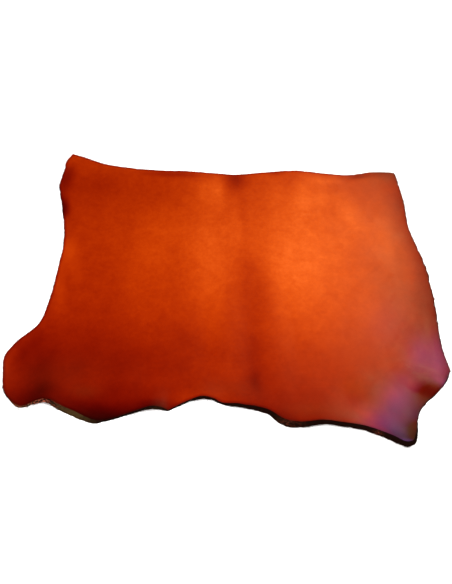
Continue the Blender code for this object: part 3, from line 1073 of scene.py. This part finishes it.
def add_bump(graph, shader, height, depth):
    """Bump whose height of 1 stands depth metres high."""
    bump = graph.node("ShaderNodeBump", Height=height)
    bump.inputs["Distance"].default_value = depth
    graph.feed(shader.inputs["Normal"], bump.outputs["Normal"])


def grain_leather():
    """Dyed grain side: colour by dye depth with painted shade and painted light, plus painted sheen and
    painted reflection, pebbled, with a soft satin sheen.
    """
    colour = colours()
    material, graph, shader = new_material("hide_grain", GRAIN_ROUGHNESS, 0.50)
    place = graph.place()
    mottled = use_group(
        graph, soft_mottling, Vector=place, Clouds=0.20, Blotches=0.30, Specks=0.32, Strokes=0.05)
    grain = use_group(graph, leather_grain, Vector=place, Cell_Size=GRAIN_CELL)
    wrinkles = use_group(graph, growth_wrinkles, Vector=place)
    rim = graph.attribute("rim_distance")
    rim_mask = graph.spread(rim, 0.0, RIM_BAND, 1.0, 0.0)
    across = graph.node("ShaderNodeSeparateXYZ", Vector=place).outputs["X"]
    off_spine = graph.math("ABSOLUTE", graph.math("SUBTRACT", across, SPINE_X))
    near_spine = graph.spread(off_spine, *SPINE_REACH, 1.0, 0.12)
    # The depth attribute holds dye together with painted shade and painted light.
    depth = graph.math("ADD", graph.attribute("shade_and_dye_depth"), mottled["Value"])
    lines = graph.math("MULTIPLY", wrinkles["Line"], near_spine)
    depth = graph.math("ADD", depth, graph.total(
        (rim_mask, 0.50), (grain["Crease"], 0.06), (lines, 0.03)))
    dyed = graph.dyed(colour.palest, colour.absorbed, depth)
    # Painted sheen and painted reflection are added to the colour here.
    reflection_paint = graph.attribute("painted_reflection_amount")
    painted_sheen = graph.added(dyed, colour.sheen_paint, graph.attribute("painted_sheen"))
    graph.feed(shader.inputs["Base Color"], graph.added(painted_sheen, colour.reflection_paint, reflection_paint))
    rough = graph.total((grain["Crease"], 0.08), (graph.noise(place, 45.0, 3.0), 0.10))
    dull = graph.total((near_spine, 0.30), (graph.spread(rim, 0.0, DULL_BAND, 1.0, 0.0), 0.12))
    rough = graph.math("ADD", rough, dull)
    graph.feed(shader.inputs["Roughness"], graph.math("ADD", rough, GRAIN_ROUGHNESS))
    relief = graph.total(
        (grain["Height"], 0.10),
        (graph.math("MULTIPLY", wrinkles["Height"], near_spine), 0.30),
        (graph.noise(place, 60.0, 3.0), 0.25),
    )
    add_bump(graph, shader, relief, GRAIN_RELIEF)
    return material


def raw_fibre_colour(graph, tone):
    """Browns of the cut fibres: near black, partly dye soaked in and partly painted shade of the band
    under the rim, paler where raw_pale says.
    """
    colour = colours()
    uneven = graph.math("MULTIPLY", graph.math("SUBTRACT", tone, 0.5), TONE_CONTRAST)
    pale = graph.math("ADD", graph.attribute("raw_pale"), uneven)
    brown = graph.ramp(graph.spread(pale, 0.10, 1.1), [
        (0.0, colour.raw_dark), (1.0, colour.raw_light)])
    flecks = graph.noise(graph.place(), 260.0, 2.0)
    torn = graph.math("MULTIPLY", graph.attribute("torn_grain"), graph.spread(flecks, 0.50, 0.62))
    return graph.added(brown, colour.torn, torn)


def raw_edge():
    """Cut edge: near black brown fibres that carry painted shade of the band under the rim, paler where
    the cut spread them.
    """
    material, graph, shader = new_material("hide_raw_edge", 0.92, 0.15)
    place = graph.place()
    nap = use_group(graph, fibre_nap, Vector=place, Strand=0.0009)
    graph.feed(shader.inputs["Base Color"], raw_fibre_colour(graph, nap["Tone"]))
    add_bump(graph, shader, nap["Height"], RAW_RELIEF)
    return material


def flesh_side():
    """Underside: brown nap with clouds of dye that came through."""
    colour = colours()
    material, graph, shader = new_material("hide_flesh", 0.95, 0.15)
    shader.inputs["Sheen Weight"].default_value = 0.15
    place = graph.place()
    nap = use_group(graph, fibre_nap, Vector=place, Strand=0.0016)
    mottled = use_group(
        graph, soft_mottling, Vector=place, Clouds=0.8, Blotches=0.5, Specks=0.2, Strokes=0.2)
    tone = graph.math("ADD", nap["Tone"], mottled["Value"])
    dark = [channel * 0.35 for channel in colour.flesh]
    shade = graph.ramp(graph.spread(tone, 0.25, 0.95), [(0.0, dark), (1.0, colour.flesh)])
    graph.feed(shader.inputs["Base Color"], shade)
    add_bump(graph, shader, nap["Height"], NAP_RELIEF)
    return material


def fibre_fluff():
    """Loose fibres: the raw edge's browns, a little paler at random."""
    material, graph, shader = new_material("hide_fibre_fluff", 0.85, 0.2)
    tone = graph.noise(graph.place(), 300.0, 2.0)
    graph.feed(shader.inputs["Base Color"], raw_fibre_colour(graph, tone))
    return material


# Studio

FLOOR_HALF = 12.0
WHITE = (1.0, 1.0, 1.0)
WARM = (1.0, 1.0, 0.47)

# Panels that hang level and shine down. Only a mirrored one shows in the sheen of the grain.
Panel = namedtuple("Panel", "name place width length colour mirrored")

PANELS = [
    Panel("fill", (-0.2, -1.2, 2.6), 2.4, 1.8, WHITE, False),
    Panel("key", (2.5, 0.6, 2.4), 1.6, 2.0, WHITE, False),
    Panel("wall", (-2.5, 0.9, 2.4), 1.4, 1.8, WHITE, False),
    Panel("window", (1.20, 1.40, 1.85), 0.30, 2.40, WARM, True),
]


def area_light(panel, brightness):
    """Light of a panel. brightness is what a mirror below it would show."""
    name, place, width, length, colour, mirrored = panel
    data = bpy.data.lights.new(name, "AREA")
    data.shape = "RECTANGLE"
    data.size = width
    data.size_y = length
    data.energy = brightness * math.pi * width * length
    data.color = colour
    data.cycles.use_multiple_importance_sampling = mirrored
    light = bpy.data.objects.new(name, data)
    light.location = place
    light.visible_camera = False
    light.visible_glossy = mirrored
    bpy.context.scene.collection.objects.link(light)


def studio_floor():
    mesh = bmesh.new()
    bmesh.ops.create_grid(mesh, x_segments=1, y_segments=1, size=FLOOR_HALF)
    data = bpy.data.meshes.new("floor")
    mesh.to_mesh(data)
    mesh.free()
    material, graph, shader = new_material("floor_paper", 0.9, 0.1)
    shader.inputs["Base Color"].default_value = (*studio().floor_colour, 1.0)
    data.materials.append(material)
    floor = bpy.data.objects.new("floor", data)
    bpy.context.scene.collection.objects.link(floor)


def studio_world():
    world = bpy.data.worlds.new("studio")
    world.use_nodes = True
    graph = Graph(world.node_tree)
    background = world.node_tree.nodes["Background"]
    background.inputs["Color"].default_value = (1.0, 1.0, 1.0, 1.0)
    ray = world.node_tree.nodes.new("ShaderNodeLightPath").outputs
    graph.feed(background.inputs["Strength"], graph.math("MAXIMUM", ray["Is Camera Ray"], studio().room))
    bpy.context.scene.world = world


def studio_camera():
    stage = studio()
    data = bpy.data.cameras.new("camera")
    data.sensor_width = 36.0
    data.lens = stage.lens
    camera = bpy.data.objects.new("camera", data)
    camera.location = (0.0, -stage.camera_back, stage.camera_height)
    camera.rotation_euler = (math.pi / 2 - stage.camera_pitch, 0.0, 0.0)
    bpy.context.scene.collection.objects.link(camera)
    bpy.context.scene.camera = camera


class HIDE_OT_leather(bpy.types.Operator):
    """Builds the sheet of leather and the loose fibres on its raw edge"""
    bl_idname = "hide.leather"
    bl_label = "Build Leather"

    def execute(self, context):
        sheet = leather_sheet()
        fibres = loose_fibres()
        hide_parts(NODE)
        return {"FINISHED"}


class HIDE_OT_studio(bpy.types.Operator):
    """Builds the pale floor, the soft lights and the camera"""
    bl_idname = "hide.studio"
    bl_label = "Build Studio"

    def execute(self, context):
        stage = studio()
        studio_floor()
        studio_world()
        studio_camera()
        for panel, brightness in zip(PANELS, (stage.fill, stage.key, stage.wall, stage.window)):
            area_light(panel, brightness)
        context.scene.view_settings.view_transform = "Standard"
        return {"FINISHED"}


class HIDE_PT_panel(bpy.types.Panel):
    """Sizes, colours and builders of the hide"""
    bl_idname = "HIDE_PT_panel"
    bl_label = "Leather Hide"
    bl_space_type = "VIEW_3D"
    bl_region_type = "UI"
    bl_category = "Hide"

    def draw(self, context):
        for group in (context.scene.hide_sizes, context.scene.hide_colours, context.scene.hide_studio):
            box = self.layout.box()
            for name in group.__annotations__:
                box.prop(group, name)
        for operator in OPERATORS:
            self.layout.operator(operator.bl_idname)


GROUPS = (("hide_sizes", HideSizes), ("hide_colours", HideColours), ("hide_studio", HideStudio))
OPERATORS = (HIDE_OT_leather, HIDE_OT_studio)


def register():
    for name, group in GROUPS:
        bpy.utils.register_class(group)
        setattr(bpy.types.Scene, name, bpy.props.PointerProperty(type=group))
    for operator in OPERATORS:
        bpy.utils.register_class(operator)
    bpy.utils.register_class(HIDE_PT_panel)


def unregister():
    bpy.utils.unregister_class(HIDE_PT_panel)
    for operator in reversed(OPERATORS):
        bpy.utils.unregister_class(operator)
    for name, group in reversed(GROUPS):
        delattr(bpy.types.Scene, name)
        bpy.utils.unregister_class(group)


def main():
    register()
    bpy.ops.hide.leather()
    bpy.ops.hide.studio()


if __name__ == "__main__":
    main()
